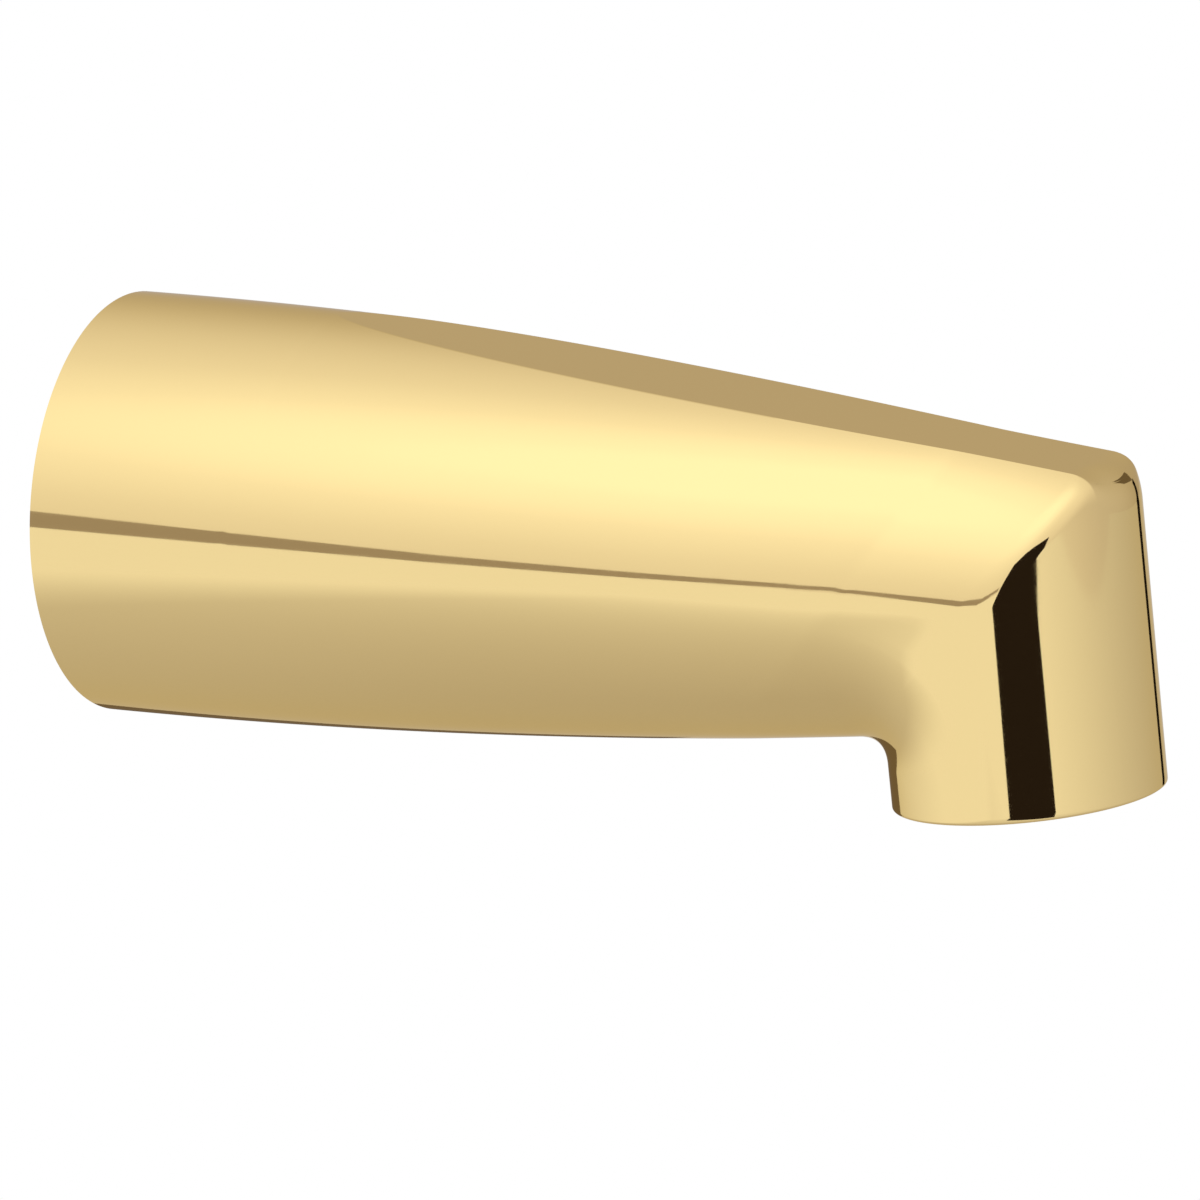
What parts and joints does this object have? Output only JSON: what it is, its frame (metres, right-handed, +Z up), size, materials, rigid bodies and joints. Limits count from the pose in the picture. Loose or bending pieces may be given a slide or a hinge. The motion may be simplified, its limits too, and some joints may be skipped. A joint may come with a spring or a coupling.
{
  "type": "bath spout",
  "caption": "Wall-mounted bath spout: a tapering brass barrel with a flat along its top, mitred into a short round nozzle, that slips over a supply tube and locks with a set screw.",
  "frame": {"origin": "centre of the wall face, on the barrel's axis", "axes": "+X out from the wall along the barrel, +Z up, so that the nozzle opens downwards"},
  "size_m": [0.1625, 0.0634, 0.0654],
  "materials": {
    "polished_brass": "mirror polished",
    "turned_brass": "turned",
    "seal_rubber": "moulded",
    "screw_steel": "plain"
  },
  "bodies": {
    "root": {"spout_body": "polished_brass", "pipe_connector": "turned_brass", "front_o_ring": "seal_rubber", "rear_o_ring": "seal_rubber", "set_screw": "screw_steel"}
  },
  "joints": []
}
